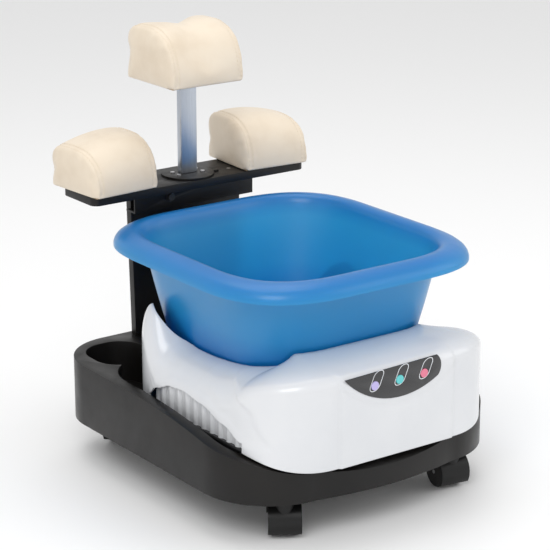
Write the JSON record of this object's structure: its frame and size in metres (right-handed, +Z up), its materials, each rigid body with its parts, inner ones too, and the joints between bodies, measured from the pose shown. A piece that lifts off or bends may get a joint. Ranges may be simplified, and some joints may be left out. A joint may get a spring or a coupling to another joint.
{
  "type": "pedicure cart",
  "caption": "Portable pedicure cart: a wheeled black tray carrying a heated foot bath with a lift-out blue basin and a column with a padded swivel footrest.",
  "frame": {"origin": "on the floor, under the middle of the whole cart's box", "axes": "+Z up, +Y to the rear where the footrest stands, -Y to the front where the controls are, X across the plane of symmetry"},
  "size_m": [0.458, 0.579, 0.6242],
  "materials": {
    "tray_plastic": "satin moulded black plastic",
    "black_steel": "satin black powder coat",
    "fasteners": "zinc plated",
    "black_bolt": "blackened",
    "post_aluminium": "brushed",
    "cream_leatherette": "cream leatherette",
    "cushion_board": "plywood",
    "white_shell": "gloss white",
    "dark_plastic": "black moulded",
    "control_film": "gloss black film",
    "silver_line": "silver print",
    "lilac_button": "satin lilac",
    "teal_button": "satin teal",
    "rose_button": "satin rose",
    "circuit_board": "green board",
    "motor_iron": "plain",
    "rubber_feet": "matt",
    "caster_plastic": "moulded",
    "caster_tread": "matt tread",
    "basin_blue": "translucent blue"
  },
  "bodies": {
    "cart": {"cart_tray": "tray_plastic", "column": "black_steel", "column_foot_bolts": "fasteners", "head_bracket": "black_steel", "head_clamp_bolt": "black_bolt", "crossbar": "black_steel", "crossbar_bolts": "fasteners", "leg_board_left": "cushion_board", "leg_board_right": "cushion_board", "leg_cushion_left": "cream_leatherette", "leg_cushion_right": "cream_leatherette", "leg_screws": "fasteners"},
    "foot_rest": {"turntable_disc": "black_steel", "turntable_screws": "fasteners", "pivot_bolt": "fasteners", "footrest_post": "post_aluminium", "foot_board": "cushion_board", "foot_cushion": "cream_leatherette"},
    "bath": {"bath_shell": "white_shell", "bath_pan": "dark_plastic", "cradle_plate": "dark_plastic", "heating_plate": "post_aluminium", "cradle_screws": "fasteners", "bath_feet": "rubber_feet", "vent_grille_left": "white_shell", "vent_grille_right": "white_shell", "control_overlay": "control_film", "button_frames": "silver_line", "control_board": "circuit_board", "button_switches": "dark_plastic", "board_spacers": "dark_plastic", "board_screws": "fasteners", "massage_motor": "motor_iron", "motor_saddle": "dark_plastic", "motor_strap": "fasteners", "power_inlet": "dark_plastic", "inlet_pins": "fasteners"},
    "motor_rotor": {"motor_shaft": "fasteners", "offset_weight": "motor_iron"},
    "button_left": {"button_left": "lilac_button"},
    "button_middle": {"button_middle": "teal_button"},
    "button_right": {"button_right": "rose_button"},
    "basin": {"basin": "basin_blue"},
    "fork_front_left": {"caster_hood_front_left": "caster_plastic", "caster_stem_front_left": "fasteners"},
    "wheels_front_left": {"caster_axle_front_left": "fasteners", "caster_wheels_front_left": "caster_tread"},
    "fork_front_right": {"caster_hood_front_right": "caster_plastic", "caster_stem_front_right": "fasteners"},
    "wheels_front_right": {"caster_axle_front_right": "fasteners", "caster_wheels_front_right": "caster_tread"},
    "fork_rear_left": {"caster_hood_rear_left": "caster_plastic", "caster_stem_rear_left": "fasteners"},
    "wheels_rear_left": {"caster_axle_rear_left": "fasteners", "caster_wheels_rear_left": "caster_tread"},
    "fork_rear_right": {"caster_hood_rear_right": "caster_plastic", "caster_stem_rear_right": "fasteners"},
    "wheels_rear_right": {"caster_axle_rear_right": "fasteners", "caster_wheels_rear_right": "caster_tread"}
  },
  "joints": [
    {"name": "foot_rest_swivel", "type": "hinge", "parent": "cart", "child": "foot_rest", "pos_m": [0, 0.2195, 0.394], "axis": [0, 0, 1], "range_deg": [-90, 90]},
    {"name": "bath_lift_out", "type": "slide", "parent": "cart", "child": "bath", "axis": [0, -0.342, 0.9397], "range_m": [0, 0.1]},
    {"name": "basin_lift_out", "type": "slide", "parent": "bath", "child": "basin", "axis": [0, -0.342, 0.9397], "range_m": [0, 0.22]},
    {"name": "motor_spin", "type": "hinge", "parent": "bath", "child": "motor_rotor", "pos_m": [0, -0.0585, 0.112], "axis": [1, 0, 0], "continuous": true},
    {"name": "button_left_press", "type": "slide", "parent": "bath", "child": "button_left", "axis": [0, 1, 0], "range_m": [0, 0.0008], "stiffness_N_per_m": 900, "springref_m": -0.0006},
    {"name": "button_middle_press", "type": "slide", "parent": "bath", "child": "button_middle", "axis": [0, 1, 0], "range_m": [0, 0.0008], "stiffness_N_per_m": 900, "springref_m": -0.0006},
    {"name": "button_right_press", "type": "slide", "parent": "bath", "child": "button_right", "axis": [0, 1, 0], "range_m": [0, 0.0008], "stiffness_N_per_m": 900, "springref_m": -0.0006},
    {"name": "swivel_front_left", "type": "hinge", "parent": "cart", "child": "fork_front_left", "pos_m": [-0.148, -0.23, 0.06], "axis": [0, 0, 1], "continuous": true},
    {"name": "roll_front_left", "type": "hinge", "parent": "fork_front_left", "child": "wheels_front_left", "pos_m": [-0.13983, -0.21742, 0.023], "axis": [0.8387, -0.5446, 0], "continuous": true},
    {"name": "swivel_front_right", "type": "hinge", "parent": "cart", "child": "fork_front_right", "pos_m": [0.148, -0.23, 0.06], "axis": [0, 0, 1], "continuous": true},
    {"name": "roll_front_right", "type": "hinge", "parent": "fork_front_right", "child": "wheels_front_right", "pos_m": [0.15009, -0.21515, 0.023], "axis": [0.9903, -0.1392, 0], "continuous": true},
    {"name": "swivel_rear_left", "type": "hinge", "parent": "cart", "child": "fork_rear_left", "pos_m": [-0.148, 0.19, 0.06], "axis": [0, 0, 1], "continuous": true},
    {"name": "roll_rear_left", "type": "hinge", "parent": "fork_rear_left", "child": "wheels_rear_left", "pos_m": [-0.13618, 0.19923, 0.023], "axis": [0.6157, -0.788, 0], "continuous": true},
    {"name": "swivel_rear_right", "type": "hinge", "parent": "cart", "child": "fork_rear_right", "pos_m": [0.148, 0.19, 0.06], "axis": [0, 0, 1], "continuous": true},
    {"name": "roll_rear_right", "type": "hinge", "parent": "fork_rear_right", "child": "wheels_rear_right", "pos_m": [0.1419, 0.2037, 0.023], "axis": [0.9135, 0.4067, 0], "continuous": true}
  ]
}
